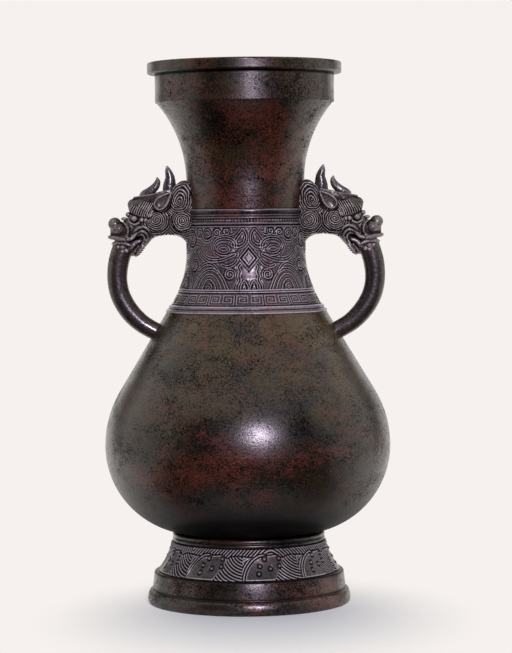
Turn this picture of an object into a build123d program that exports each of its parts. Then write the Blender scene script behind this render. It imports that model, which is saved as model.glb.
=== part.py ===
from build123d import *
from math import acos, asin, atan2, cos, hypot, sin, sqrt
import os

# A cast bronze hu vase: pear-shaped belly, waisted neck with a relief band, stepped
# mouth, spreading foot, and two fixed loop handles that issue from beast heads.
# It was cast in sections, and the seams lie at the mouldings, where laps hold them true.
# Lengths are in millimetres. The origin is at the centre of the foot's underside,
# +Z is up, and the handles stand out along +X and -X.

# Heights, from the ground up
base_band_height = 10.0
step_band_height = 14.0
wave_band_height = 22.0
foot_ribs_height = 6.5
belly_height = 163.5
equator_height = 64.5        # the widest girth, above the belly's bottom
lower_ribs_height = 6.0
fret_band_height = 9.0
scroll_band_height = 47.5
upper_ribs_height = 14.0
band_flare_height = 46.0     # the spreading lower part of the neck band
neck_height = 78.0
neck_flare_height = 58.0     # the trumpet under the collar
collar_height = 21.0
lip_height = 8.5

# Radii and steps
base_radius = 75.5
base_batter = 2.0            # how far the bottom band leans in at its top
base_step = 1.6              # ledge above the bottom band
step_batter = 1.3
step_shoulder = 2.0          # rounded upper edge of the step
wave_ledge = 1.6             # flat between the step and the wave band
foot_shoulder = 6.6          # ledge between the foot's ribs and the belly
wave_hollow = 1.9            # how far the wave band's curve dips below its chord
belly_base_radius = 50.0
belly_radius = 105.9
belly_curve = 78.0           # radius of the belly's outline above the girth
shoulder_radius = 59.4       # where the belly passes into the neck band
neck_radius = 43.7
collar_radius = 66.2
collar_step = 0.9            # the collar stands this far proud of the trumpet
lip_overhang = 5.6
lip_round = 1.4

# Walls, ribs and joints
wall = 4.0
foot_wall = 5.0
mouth_wall = 5.7
rib_rise = 1.2
upper_rib_count = 4
lower_rib_count = 2
foot_rib_count = 2
solder_gap = 0.1             # room for the solder film in every lap and socket
lap_length = 6.0             # how far one section slides into the next
lap_wall = 2.0
band_lap_wall = 3.0
plate_thickness = 4.0        # the separate bottom plate
plate_land = 4.0             # width of the ledge that carries the plate
plate_overlap = 3.0          # how far the belly's bottom ring covers the plate
plate_boss = 3.0             # locating boss that stands up into the belly

# Handles
head_reach = 58.0            # snout, beyond the neck
head_width = 37.0
head_height = 52.0           # at the mane, where it meets the neck
head_drop = 6.5              # middle of the head, below the neck band's top edge
horn_length = 22.0
horn_radius = 4.6
horn_spread = 12.6           # between the two horns' middles
forelock_length = 19.0
forelock_radius = 4.8
loop_diameter = 14.8
loop_reach = 52.0            # the loop's outermost centre line, beyond the neck
loop_bend_drop = 44.0        # that point, below the middle of the head
loop_mouth_rise = 27.8       # the loop's buried end, above that point
loop_mouth_set = 7.4         # the buried end lies this far inside that point
loop_foot_drop = 13.4        # the loop's foot, below the top of the belly
rivet_radius = 3.0
rivet_head_radius = 5.2
rivet_head_height = 2.4
rivet_depth = 9.0            # how far a rivet reaches into a handle
upper_rivet_rise = 15.0      # above the middle of the head
lower_rivet_drop = 9.0       # below the middle of the head

# Levels that follow from the heights
base_top = base_band_height
step_top = base_top + step_band_height
wave_top = step_top + wave_band_height
foot_top = wave_top + foot_ribs_height
equator = foot_top + equator_height
belly_top = foot_top + belly_height
fret_bottom = belly_top + lower_ribs_height
scroll_top = fret_bottom + fret_band_height + scroll_band_height
band_top = scroll_top + upper_ribs_height
neck_top = band_top + neck_height
collar_top = neck_top + collar_height
lip_top = collar_top + lip_height
head_middle = band_top - head_drop


# Outlines are drawn as (radius, height) and turned about the vertical axis.

def turned(edges):
    return revolve(Plane.XZ * make_face(edges), Axis.Z)


def path(*points):
    return Polyline(*points).edges()


def bead(start, end, rise):
    # a half-round moulding between two points of an outline that runs upwards
    run, climb = end[0] - start[0], end[1] - start[1]
    length = hypot(run, climb)
    crest = ((start[0] + end[0]) / 2 + rise * climb / length,
             (start[1] + end[1]) / 2 - rise * run / length)
    return ThreePointArc(start, crest, end)


def beads(point_at, bottom, top, count):
    levels = [bottom + (top - bottom) * i / count for i in range(count + 1)]
    return [bead(point_at(low), point_at(high), rib_rise)
            for low, high in zip(levels, levels[1:])]


def upright_arc_radius(run, rise):
    # an arc that leaves the vertical and has moved sideways by run after rise
    return (run ** 2 + rise ** 2) / (2 * run)


# Belly: a round bowl, tighter below the girth than above, that passes into a straight cone
bowl_curve = upright_arc_radius(belly_radius - belly_base_radius, equator_height)
to_shoulder = (shoulder_radius - belly_radius + belly_curve, belly_top - equator)
cone_angle = atan2(to_shoulder[1], to_shoulder[0]) - acos(belly_curve / hypot(*to_shoulder))


def bowl_point(angle, inset=0.0):
    curve = belly_curve if angle > 0 else bowl_curve
    return (belly_radius - curve + (curve - inset) * cos(angle),
            equator + (curve - inset) * sin(angle))


def bowl_arc(start, end, inset):
    return ThreePointArc(*(bowl_point(angle, inset) for angle in (start, (start + end) / 2, end)))


def cone_radius(height, inset=0.0):
    start = bowl_point(cone_angle, inset)
    return start[0] - (height - start[1]) * sin(cone_angle) / cos(cone_angle)


def belly_sides(bottom, inset=0.0):
    # the bowl and cone from the level of the bottom up to the top of the belly
    low_angle = asin((bottom - equator) / (bowl_curve - inset))
    cone = Line(bowl_point(cone_angle, inset), (cone_radius(belly_top, inset), belly_top))
    return bowl_arc(low_angle, 0, inset), bowl_arc(0, cone_angle, inset), cone


plate_radius = belly_base_radius - plate_land
belly_opening = plate_radius - plate_overlap
belly_floor = foot_top + wall


def belly_outline():
    outer = belly_sides(foot_top)
    inner = belly_sides(belly_floor, wall)
    return [*outer, *inner,
            Line(outer[-1] @ 1, inner[-1] @ 1),
            *path(inner[0] @ 0, (belly_opening, belly_floor),
                  (belly_opening, foot_top), outer[0] @ 0)]


# Neck band: a plain waist above, and an arc that spreads to the shoulder below
flare_top = belly_top + band_flare_height
flare_radius = upright_arc_radius(shoulder_radius - neck_radius, band_flare_height)
flare_centre = neck_radius + flare_radius
band_lap_radius = cone_radius(belly_top, wall) - solder_gap
neck_bore = neck_radius - wall


def band_point(height, inset=0.0):
    if height >= flare_top:
        return (neck_radius - inset, height)
    return (flare_centre - sqrt((flare_radius + inset) ** 2 - (flare_top - height) ** 2), height)


def band_arc(low, high, inset=0.0):
    return ThreePointArc(band_point(low, inset), band_point((low + high) / 2, inset),
                         band_point(high, inset))


def band_outside():
    return [*beads(band_point, belly_top, fret_bottom, lower_rib_count),
            band_arc(fret_bottom, flare_top),
            Line(band_point(flare_top), band_point(scroll_top)),
            *beads(band_point, scroll_top, band_top, upper_rib_count)]


def band_outline():
    lap_bore = band_lap_radius - band_lap_wall
    flare_end = flare_top - sqrt((flare_radius + wall) ** 2 - (flare_centre - lap_bore) ** 2)
    top_lap = neck_bore + lap_wall - solder_gap
    return [*band_outside(),
            *path(band_point(band_top), (top_lap, band_top), (top_lap, band_top + lap_length),
                  (neck_bore, band_top + lap_length), (neck_bore, flare_top)),
            band_arc(flare_end, flare_top, wall),
            *path((lap_bore, flare_end), (lap_bore, belly_top - lap_length),
                  (band_lap_radius, belly_top - lap_length), (band_lap_radius, belly_top),
                  band_point(belly_top))]


# Neck: a short straight waist, the trumpet, and the upright collar under the lip
trumpet_start = neck_top - neck_flare_height
trumpet_top_radius = collar_radius - collar_step
trumpet_radius = upright_arc_radius(trumpet_top_radius - neck_radius, neck_flare_height)
trumpet_centre = neck_radius + trumpet_radius
mouth_radius = collar_radius - mouth_wall


def trumpet_point(height, inset=0.0):
    drop = sqrt((trumpet_radius + inset) ** 2 - (height - trumpet_start) ** 2)
    return (trumpet_centre - drop, height)


def trumpet_arc(top, inset=0.0):
    return ThreePointArc(trumpet_point(trumpet_start, inset),
                         trumpet_point((trumpet_start + top) / 2, inset),
                         trumpet_point(top, inset))


def neck_outline():
    bore_start = trumpet_start + sqrt((trumpet_radius + wall) ** 2
                                      - (trumpet_centre - mouth_radius) ** 2)
    lap_top = neck_bore + lap_wall
    lip_seat = mouth_radius + lap_wall
    return [Line((neck_radius, band_top), (neck_radius, trumpet_start)),
            trumpet_arc(neck_top),
            *path(trumpet_point(neck_top), (collar_radius, neck_top), (collar_radius, collar_top),
                  (lip_seat, collar_top), (lip_seat, collar_top - lap_length),
                  (mouth_radius, collar_top - lap_length), (mouth_radius, bore_start)),
            trumpet_arc(bore_start, wall),
            *path((neck_bore, trumpet_start), (neck_bore, band_top + lap_length),
                  (lap_top, band_top + lap_length), (lap_top, band_top), (neck_radius, band_top))]


def make_lip():
    # a flat ring that overhangs the collar, with a skirt that drops into the mouth
    lip_radius = collar_radius + lip_overhang
    skirt = mouth_radius + lap_wall - solder_gap
    ring = turned(path((mouth_radius, collar_top - lap_length), (skirt, collar_top - lap_length),
                       (skirt, collar_top), (lip_radius, collar_top), (lip_radius, lip_top),
                       (mouth_radius, lip_top), (mouth_radius, collar_top - lap_length)))
    rim_edges = [edge for edge in ring.edges().filter_by(GeomType.CIRCLE)
                 if edge.radius > collar_radius + lip_overhang / 2]
    return fillet(rim_edges, lip_round)


# Foot: a wave band that spreads from the ribs to a step and a bottom band
foot_rib_radius = belly_base_radius + foot_shoulder
step_foot_radius = base_radius - base_batter - base_step
step_edge_radius = step_foot_radius - step_batter
wave_foot_radius = step_edge_radius - step_shoulder - wave_ledge


def wave_curve():
    low = (wave_foot_radius, step_top)
    high = (foot_rib_radius, wave_top)
    run, climb = high[0] - low[0], high[1] - low[1]
    length = hypot(run, climb)
    dip = ((low[0] + high[0]) / 2 - wave_hollow * climb / length,
           (low[1] + high[1]) / 2 + wave_hollow * run / length)
    return ThreePointArc(low, dip, high)


def foot_outline():
    seat = foot_top - plate_thickness
    shelf = seat - foot_wall
    plate_seat = plate_radius + solder_gap
    shelf_bore = plate_radius - plate_land
    shoulder_start = (step_edge_radius, step_top - step_shoulder)
    shoulder_end = (step_edge_radius - step_shoulder, step_top)
    shelf_edge = (foot_rib_radius - foot_wall, shelf)
    return [ThreePointArc((base_radius - base_batter / 3, 0), (base_radius, base_top * 0.4),
                          (base_radius - base_batter, base_top)),
            *path((base_radius - base_batter, base_top), (step_foot_radius, base_top),
                  shoulder_start),
            RadiusArc(shoulder_start, shoulder_end, -step_shoulder),
            Line(shoulder_end, (wave_foot_radius, step_top)),
            wave_curve(),
            *beads(lambda height: (foot_rib_radius, height), wave_top, foot_top, foot_rib_count),
            *path((foot_rib_radius, foot_top), (plate_seat, foot_top), (plate_seat, seat),
                  (shelf_bore, seat), (shelf_bore, shelf), shelf_edge,
                  (wave_foot_radius - foot_wall, step_top - foot_wall),
                  (base_radius - base_batter / 3 - foot_wall, 0),
                  (base_radius - base_batter / 3, 0))]


def make_base_plate():
    seat = foot_top - plate_thickness
    boss = belly_opening - solder_gap
    return turned(path((0, seat), (plate_radius, seat), (plate_radius, foot_top), (boss, foot_top),
                       (boss, foot_top + plate_boss), (0, foot_top + plate_boss), (0, seat)))


# Handles are made for the +X side, and mirrored for the other.

def vessel_envelope(grown):
    # what the handles are cut to: the outside from the bowl to the trumpet, grown a little
    band = [*band_outside()]
    sides = belly_sides(foot_top)
    neck = [Line((neck_radius, band_top), (neck_radius, trumpet_start)), trumpet_arc(neck_top)]
    outside = [*sides, *band, *neck]
    shifted = [Location((grown, 0, 0)) * edge for edge in outside]
    bottom, top = shifted[0] @ 0, shifted[-1] @ 1
    return turned([*shifted, *path(top, (0, neck_top), (0, foot_top), bottom)])


def handle_point(out, side, up):
    # a point by its distance from the neck, from the middle plane and from the head's middle
    return Vector(neck_radius + out, side, head_middle + up)


def ellipsoid(centre, radii, lean=0.0):
    ball = Rot(0, lean, 0) * scale(Sphere(1), by=radii)
    return Pos(*centre) * ball


def tapered(stations, across):
    # a loft along a bent line: each station is (centre, radius); across widens it sideways
    sections = []
    for i, (centre, radius) in enumerate(stations):
        before = stations[max(i - 1, 0)][0]
        after = stations[min(i + 1, len(stations) - 1)][0]
        plane = Plane(origin=centre, x_dir=(0, 1, 0), z_dir=(after - before).normalized())
        sections.append(plane * Ellipse(radius * across, radius))
    return loft(sections)


# Skull sections: share of the reach, then top, bottom and half width as shares of
# the head's height, height and width
skull_sections = (
    (-0.06, 0.50, -0.48, 0.50),
    (0.10, 0.42, -0.32, 0.49),
    (0.28, 0.37, -0.29, 0.46),
    (0.45, 0.32, -0.34, 0.42),
    (0.62, 0.24, -0.38, 0.36),
    (0.78, 0.05, -0.29, 0.29),
    (0.93, -0.05, -0.27, 0.23),
)


def make_skull():
    sections = []
    for along, top, bottom, half_width in skull_sections:
        middle = handle_point(along * head_reach, 0, (top + bottom) / 2 * head_height)
        plane = Plane(origin=middle, x_dir=(0, 1, 0), z_dir=(1, 0, 0))
        sections.append(plane * Ellipse(half_width * head_width, (top - bottom) / 2 * head_height))
    return loft(sections)


def head_place(along, side, up):
    # the same as shares of the reach, the width and the height
    return handle_point(along * head_reach, side * head_width, up * head_height)


# Rounded forms that lie on the skull: the middle as head_place takes it, the half sizes
# as shares of the head's width, and the lean in degrees. Those off the middle come in pairs.
head_forms = {
    "nose tip": ((0.92, 0.0, -0.11), (0.13, 0.17, 0.12), 0),
    "nostril": ((0.875, 0.19, -0.185), (0.125, 0.105, 0.12), 0),
    "upper lip": ((0.86, 0.0, -0.275), (0.22, 0.25, 0.055), 4),
    "brow": ((0.60, 0.22, 0.14), (0.26, 0.15, 0.16), 24),
    "eye": ((0.665, 0.29, -0.04), (0.086, 0.08, 0.08), 0),
    "upper mane curl": ((0.095, 0.445, 0.23), (0.18, 0.09, 0.18), 0),
    "lower mane curl": ((0.06, 0.445, -0.05), (0.215, 0.09, 0.215), 0),
    "cheek curl": ((0.39, 0.445, -0.04), (0.22, 0.09, 0.22), 0),
    "ear": ((0.30, 0.40, 0.235), (0.26, 0.10, 0.135), 43),
    "beard": ((0.63, 0.0, -0.42), (0.125, 0.225, 0.22), -28),
}
ear_hollows = {
    "ear hollow": ((0.30, 0.495, 0.235), (0.20, 0.095, 0.095), 43),
}


def rounded_forms(table):
    forms = []
    for (along, side, up), half_sizes, lean in table.values():
        radii = tuple(share * head_width for share in half_sizes)
        for mirrored in sorted({side, -side}):
            forms.append(ellipsoid(head_place(along, mirrored, up), radii, lean))
    return forms


# Horns and forelock: how far out and up each station lies, as shares of the length,
# and its share of the root's radius
horn_stations = ((0.0, 0.0, 1.0), (-0.05, 0.45, 0.9), (0.0, 0.78, 0.55), (0.06, 1.0, 0.15))
forelock_stations = ((0.0, 0.0, 1.0), (-0.04, 0.35, 0.95), (-0.2, 0.62, 0.6), (-0.44, 0.86, 0.16))
horn_flatness = 0.75


def curved_spike(root, stations, length, radius, across):
    return tapered([(root + Vector(out, 0, up) * length, share * radius)
                    for out, up, share in stations], across)


def make_horn(side):
    return curved_spike(head_place(0.23, side, 0.30), horn_stations, horn_length, horn_radius,
                        horn_flatness)


def make_forelock():
    return curved_spike(head_place(0.526, 0, 0.24), forelock_stations, forelock_length,
                        forelock_radius, horn_flatness)


def loop_line():
    # from the mouth down round the outermost point to the shoulder
    bend = handle_point(loop_reach, 0, -loop_bend_drop)
    mouth = bend + Vector(-loop_mouth_set, 0, loop_mouth_rise)
    foot_level = belly_top - loop_foot_drop
    foot = Vector(cone_radius(foot_level), 0, foot_level)
    upper = TangentArc(bend, mouth, tangent=(0, 0, 1))
    lower = TangentArc(bend, foot, tangent=(0, 0, -1))
    return upper, lower


def loop_tube(grown=0.0):
    upper, lower = loop_line()
    radius = loop_diameter / 2 + grown
    tubes = []
    for arc in (upper, lower):
        section = Plane(origin=arc @ 0, z_dir=arc % 0, x_dir=(0, 1, 0)) * Circle(radius)
        tubes.append(sweep(section, path=arc))
    toe = lower @ 1
    tail = Plane(origin=toe, z_dir=lower % 1, x_dir=(0, 1, 0)) * Cylinder(
        radius, loop_diameter, align=(Align.CENTER, Align.CENTER, Align.MIN))
    return tubes[0] + tubes[1] + tail


def rivet(start, direction, cavity):
    # a pin from inside the wall into the handle, with its head peened over against the wall
    buried = rivet_head_height + wall
    inside = Plane(origin=start - direction * buried, z_dir=direction)
    pin = inside * Cylinder(rivet_radius, buried + rivet_depth,
                            align=(Align.CENTER, Align.CENTER, Align.MIN))
    head = inside * Cylinder(rivet_head_radius, buried,
                             align=(Align.CENTER, Align.CENTER, Align.MIN))
    return pin + (head & cavity)


def rivet_hole(start, direction):
    length = 2 * (wall + rivet_depth + rivet_head_height)
    return Plane(origin=start, z_dir=direction) * Cylinder(rivet_radius + solder_gap, length)


def head_rivet_places():
    return [handle_point(0, 0, upper_rivet_rise), handle_point(0, 0, -lower_rivet_drop)]


def loop_rivet_place():
    foot = loop_line()[1] @ 1
    outward = Vector(cos(cone_angle), 0, sin(cone_angle))
    return foot, outward


def both_sides(shape):
    return [shape, mirror(shape, about=Plane.YZ)]


def make_head(holes):
    horn_side = horn_spread / 2 / head_width
    head = make_skull()
    for form in [*rounded_forms(head_forms), make_forelock(), make_horn(horn_side),
                 make_horn(-horn_side)]:
        head = head + form
    for hollow in [*rounded_forms(ear_hollows), loop_tube(solder_gap),
                   vessel_envelope(solder_gap), *holes]:
        head = head - hollow
    return max(head.solids(), key=lambda solid: solid.volume)


def make_loop(hole):
    loop = loop_tube() - vessel_envelope(solder_gap) - hole
    return max(loop.solids(), key=lambda solid: solid.volume)


def main():
    outward = Vector(1, 0, 0)
    head_holes = [rivet_hole(place, outward) for place in head_rivet_places()]
    loop_foot, cone_normal = loop_rivet_place()
    loop_hole = rivet_hole(loop_foot, cone_normal)

    neck_cavity = Pos(0, 0, head_middle) * Cylinder(neck_bore, neck_height + head_height)
    inner_sides = belly_sides(belly_floor, wall)
    belly_cavity = turned([*inner_sides, *path(inner_sides[-1] @ 1, (0, belly_top),
                                               (0, belly_floor), inner_sides[0] @ 0)])
    head_rivets = [rivet(place, outward, neck_cavity) for place in head_rivet_places()]
    loop_rivet = rivet(loop_foot, cone_normal, belly_cavity)

    neck, band, belly = turned(neck_outline()), turned(band_outline()), turned(belly_outline())
    for hole in head_holes:
        for side in both_sides(hole):
            neck = neck - side
            band = band - side
    for side in both_sides(loop_hole):
        belly = belly - side

    right_head, left_head = both_sides(make_head(head_holes))
    right_loop, left_loop = both_sides(make_loop(loop_hole))
    pieces = {
        "mouth_lip": make_lip(),
        "neck": neck,
        "neck_band": band,
        "belly": belly,
        "base_plate": make_base_plate(),
        "foot": turned(foot_outline()),
        "right_beast_head": right_head,
        "left_beast_head": left_head,
        "right_handle_loop": right_loop,
        "left_handle_loop": left_loop,
        "head_rivets": Compound([side for pin in head_rivets for side in both_sides(pin)]),
        "loop_rivets": Compound(both_sides(loop_rivet)),
    }
    os.makedirs("parts", exist_ok=True)
    for name, piece in pieces.items():
        export_step(piece, f"parts/{name}.step")
        print(name, "solids", len(piece.solids()), "volume", round(piece.volume))


main()
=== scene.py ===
import math

import bpy
import numpy as np
from mathutils import Euler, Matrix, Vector


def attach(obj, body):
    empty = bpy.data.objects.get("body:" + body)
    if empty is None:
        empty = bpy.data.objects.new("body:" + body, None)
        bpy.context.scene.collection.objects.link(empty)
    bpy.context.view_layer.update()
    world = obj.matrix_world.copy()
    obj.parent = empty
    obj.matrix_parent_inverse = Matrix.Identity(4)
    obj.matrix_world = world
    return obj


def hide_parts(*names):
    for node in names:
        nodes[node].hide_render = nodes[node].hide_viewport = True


# A patinated bronze hu vase. Lengths are in millimetres, but in metres for the stage and the camera.
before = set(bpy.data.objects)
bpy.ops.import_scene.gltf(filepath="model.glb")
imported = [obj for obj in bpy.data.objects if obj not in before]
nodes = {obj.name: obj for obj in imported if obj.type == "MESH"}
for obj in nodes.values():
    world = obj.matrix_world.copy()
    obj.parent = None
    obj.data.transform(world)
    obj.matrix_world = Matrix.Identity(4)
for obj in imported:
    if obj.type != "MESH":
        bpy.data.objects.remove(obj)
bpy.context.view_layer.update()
scene = bpy.context.scene
millimetre = 0.001
print("frame loaded:", len(nodes), "nodes")


# Shader nodes and colours

def addNode(tree, kind, inputs=None, **settings):
    # an input is a plain value, an output of another node, or a node whose first output is meant
    node = tree.nodes.new(kind)
    for name, value in settings.items():
        setattr(node, name, value)
    for name, value in (inputs or {}).items():
        if isinstance(value, bpy.types.Node):
            value = value.outputs[0]
        if isinstance(value, bpy.types.NodeSocket):
            tree.links.new(value, node.inputs[name])
        else:
            node.inputs[name].default_value = value
    return node


def fromTo(pair):
    # the start and end of a range, under the names that a range node has for them
    return {"From Min": pair[0], "From Max": pair[1]}


def colour(hexCode):
    shares = [int(hexCode[i:i + 2], 16) / 255 for i in (1, 3, 5)]
    return [s / 12.92 if s <= 0.04045 else ((s + 0.055) / 1.055) ** 2.4 for s in shares] + [1.0]


def newMaterial(name):
    material = bpy.data.materials.new(name)
    material.use_nodes = True
    material.node_tree.nodes.clear()
    return material, material.node_tree


# How the noises of a patina add up. Each noise has its detail, roughness and distortion, and a pair
# says where a tone starts and where it is full.
patina = {
    "noises": {"mottle": (7.0, 0.72, 0.4), "speck": (3.0, 0.7, 0.0), "blotch": (4.0, 0.6, 0.0)},
    "blotchInFine": 0.25, "fineInBrown": 0.55, "brown": (0.74, 0.94), "beltInRed": 0.2, "fineInRed": 0.9,
    "red": (1.16, 1.29), "ochre": (1.38, 1.5), "ridgeWearAndHighlight": (0.3, 1.0), "paintedHollowShade": (-0.2, -0.6),
    "cloudInPits": 0.8, "pits": (1.04, 0.84), "grainHeight": 0.5, "waxLeaves": 0.36, "dullWax": 0.08,
    "dullSheen": 0.2, "plainBelts": {"brownness": 1.0, "redness": 0.1, "paintedShade": 0.0}, "tall": 400,
}


def patinaMaterial(look):
    # The eye sees a mottled oxide skin under wax, not bare metal: black, olive brown and muted red
    # in cloudy patches, all broken by fine dull pits, with a soft sheen under a clear, smoother one.
    material, tree = newMaterial(look["name"])
    place = addNode(tree, "ShaderNodeTexCoord").outputs["Object"]
    drawnOut = addNode(tree, "ShaderNodeVectorMath", {0: place, 1: (1.0, 1.0, look["drawnOut"])},
                       operation="MULTIPLY")
    noises = {}
    for kind, (detail, roughness, distortion) in patina["noises"].items():
        noises[kind] = addNode(tree, "ShaderNodeTexNoise", {
            "Vector": place if kind == "speck" else drawnOut, "Scale": 1000 / look[kind + "Size"],
            "Detail": detail, "Roughness": roughness, "Distortion": distortion})
    tones = addNode(tree, "ShaderNodeSeparateColor", {0: noises["mottle"].outputs["Color"]}).outputs
    fine = addNode(tree, "ShaderNodeMath", {0: noises["blotch"], 1: patina["blotchInFine"],
                                            2: noises["speck"]}, operation="MULTIPLY_ADD")
    # how brown and how red the skin is at each height of the vase, and painted shade in gaps, under the
    # belly and under the lip
    height = addNode(tree, "ShaderNodeSeparateXYZ", {0: place}).outputs["Z"]
    level = addNode(tree, "ShaderNodeMath", {0: height, 1: 1000 / patina["tall"]}, operation="MULTIPLY")
    belts = {}
    for kind, plain in patina["plainBelts"].items():
        belts[kind] = addNode(tree, "ShaderNodeValToRGB", {0: level})
        stops = belts[kind].color_ramp.elements
        for number, (position, value) in enumerate(look.get(kind, ((0.0, plain), (1.0, plain)))):
            stop = stops[number] if number < 2 else stops.new(position)
            stop.position = position
            stop.color = (value, value, value, 1.0)
    browner = addNode(tree, "ShaderNodeMath", {0: fine, 1: patina["fineInBrown"], 2: tones[1]},
                      operation="MULTIPLY_ADD")
    brownShare = addNode(tree, "ShaderNodeMapRange", {"Value": browner, **fromTo(patina["brown"])})
    brownHere = addNode(tree, "ShaderNodeMath", {0: brownShare, 1: belts["brownness"]}, operation="MULTIPLY")
    body = addNode(tree, "ShaderNodeMix", {0: brownHere, 6: colour(look["dark"]), 7: colour(look["brown"])},
                   data_type="RGBA").outputs[2]
    redder = addNode(tree, "ShaderNodeMath", {0: belts["redness"], 1: patina["beltInRed"], 2: tones[0]},
                     operation="MULTIPLY_ADD")
    speckled = addNode(tree, "ShaderNodeMath", {0: fine, 1: patina["fineInRed"], 2: redder},
                       operation="MULTIPLY_ADD")
    shares = {tone: addNode(tree, "ShaderNodeMapRange", {"Value": speckled, **fromTo(patina[tone])})
              for tone in ("red", "ochre")}
    if look.get("rubbedAndPaintedLight"):
        # ridges are lighter, as rubbed wear and as a painted highlight, and hollows are darkened as painted
        # shade
        worn = addNode(tree, "ShaderNodeAttribute", attribute_name="rubbedAndPaintedLight").outputs["Fac"]
        shares["rubbedAndPaintedLight"], paintedHollowShade = (
            addNode(tree, "ShaderNodeMapRange", {"Value": worn, **fromTo(patina[kind])})
            for kind in ("ridgeWearAndHighlight", "paintedHollowShade"))
    for tone, share in shares.items():
        body = addNode(tree, "ShaderNodeMix", {0: share, 6: body, 7: colour(look[tone])},
                       data_type="RGBA").outputs[2]
    # the pits gather in clouds
    pitted = addNode(tree, "ShaderNodeMath", {0: tones[2], 1: patina["cloudInPits"], 2: fine},
                     operation="MULTIPLY_ADD")
    pits = addNode(tree, "ShaderNodeMapRange", {"Value": pitted, **fromTo(patina["pits"]),
                                                "To Max": look["pitMost"]})
    # dull gathers the pits, the painted shade bands by height and the painted shade in hollows: all take the
    # pit colour
    dull = addNode(tree, "ShaderNodeMath", {0: pits, 1: belts["paintedShade"]}, operation="MAXIMUM")
    if look.get("rubbedAndPaintedLight"):
        dull = addNode(tree, "ShaderNodeMath", {0: dull, 1: paintedHollowShade}, operation="MAXIMUM")
    body = addNode(tree, "ShaderNodeMix", {0: dull, 6: body, 7: colour(look["pitAndPaintedShade"])},
                   data_type="RGBA").outputs[2]
    # the wax fills most of each fine pit, and is thin where the skin is dull: in the pits and in the painted
    # shade
    dulled = {}
    for kind, clear, dullest in (("roughness", look["smoothest"], look["roughest"]),
                                 ("wax", look["wax"], look["wax"] * patina["dullWax"]),
                                 ("sheen", look["sheen"], look["sheen"] * patina["dullSheen"])):
        dulled[kind] = addNode(tree, "ShaderNodeMapRange", {"Value": dull, "To Min": clear,
                                                            "To Max": dullest})
    bumps, waxBumps = (addNode(tree, "ShaderNodeBump", {
        "Strength": look["grainDepth"] * share, "Distance": patina["grainHeight"] * millimetre,
        "Height": noises["speck"]}) for share in (1.0, patina["waxLeaves"]))
    shader = addNode(tree, "ShaderNodeBsdfPrincipled", {
        "Base Color": body, "Metallic": 0.0, "Roughness": dulled["roughness"], "Normal": bumps,
        "Specular IOR Level": dulled["sheen"], "Coat Weight": dulled["wax"],
        "Coat Roughness": look["waxRoughness"], "Coat Normal": waxBumps})
    addNode(tree, "ShaderNodeOutputMaterial", {"Surface": shader})
    return material


# Pits of a cast skin are mostly under half a millimetre wide: they are drawn 1.2 to 1.7 mm apart to show.
vesselBronze = patinaMaterial({
    "name": "waxed mottled bronze patina", "dark": "#090707", "brown": "#473a1b", "red": "#4a261c",
    "ochre": "#6e402b", "pitAndPaintedShade": "#010101", "pitMost": 1.0, "mottleSize": 42, "blotchSize": 8,
    "drawnOut": 1.5,
    "brownness": ((0.0, 0.15), (1.0, 0.5), (0.13, 0.1), (0.2, 0.35), (0.32, 0.3), (0.42, 0.7), (0.5, 1.0),
                  (0.55, 1.0), (0.7, 0.4)),
    "redness": ((0.0, 0.55), (1.0, 0.2), (0.11, 0.1), (0.14, 0.0), (0.19, 0.6), (0.29, 0.52), (0.37, 0.2),
                (0.55, 0.1), (0.73, 0.8), (0.80, 0.9), (0.88, 0.7), (0.94, 0.4)),
    # painted shade: dark bands in the foot's grooves, between its ribs, where the belly meets the foot,
    # under the belly and under the lip
    "paintedShade": ((0.0, 0.0), (1.0, 0.0), (0.0235, 0.0), (0.0245, 1.0), (0.0272, 1.0), (0.0285, 0.0),
             (0.0575, 0.0), (0.0588, 0.9), (0.061, 0.9), (0.063, 0.0), (0.1135, 0.0), (0.1148, 0.9),
             (0.117, 0.0), (0.1215, 0.0), (0.123, 0.9), (0.1245, 0.0), (0.1305, 0.0), (0.1312, 1.0),
             (0.152, 0.95), (0.175, 0.8), (0.2, 0.55), (0.26, 0.0), (0.9735, 0.0), (0.975, 1.0),
             (0.9787, 1.0), (0.98, 0.0)),
    "speckSize": 1.2, "smoothest": 0.36, "roughest": 0.65, "grainDepth": 0.5,
    "sheen": 0.12, "wax": 1.0, "waxRoughness": 0.26})
# the rubbed colour lightens ridges, as rubbed wear and as a painted highlight; the pit colour also darkens
# hollows as painted shade
reliefLook = {
    "name": "rubbed relief bronze", "dark": "#37343b", "brown": "#464244", "red": "#583633",
    "ochre": "#63483a", "rubbedAndPaintedLight": "#b0abb2", "pitAndPaintedShade": "#020202", "pitMost": 0.5, "mottleSize": 36,
    "blotchSize": 8, "drawnOut": 1.3, "redness": ((0.0, 0.0), (1.0, 0.5), (0.3, 0.0), (0.5, 0.5)),
    "speckSize": 1.7, "smoothest": 0.36, "roughest": 0.8, "grainDepth": 0.25,
    "sheen": 0.2, "wax": 0.9, "waxRoughness": 0.27}
reliefBronze = patinaMaterial(reliefLook)
ribBronze = patinaMaterial({**reliefLook, "name": "rubbed dark rib bronze", "dark": "#161418",
                            "brown": "#1e1b1d", "rubbedAndPaintedLight": "#7d797f"})
waveBronze = patinaMaterial({**reliefLook, "name": "rubbed wave relief bronze", "dark": "#2a292b",
                             "brown": "#353332", "rubbedAndPaintedLight": "#969492"})
headBronze = patinaMaterial({
    "name": "rubbed beast head bronze", "dark": "#2e2a28", "brown": "#403b35", "red": "#40302b",
    "ochre": "#5a463c", "rubbedAndPaintedLight": "#a8a39b", "pitAndPaintedShade": "#030302", "pitMost": 0.5, "mottleSize": 24,
    "blotchSize": 7, "drawnOut": 1.0,
    "speckSize": 1.7, "smoothest": 0.4, "roughest": 0.85, "grainDepth": 0.3,
    "sheen": 0.25, "wax": 0.85, "waxRoughness": 0.22})
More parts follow.
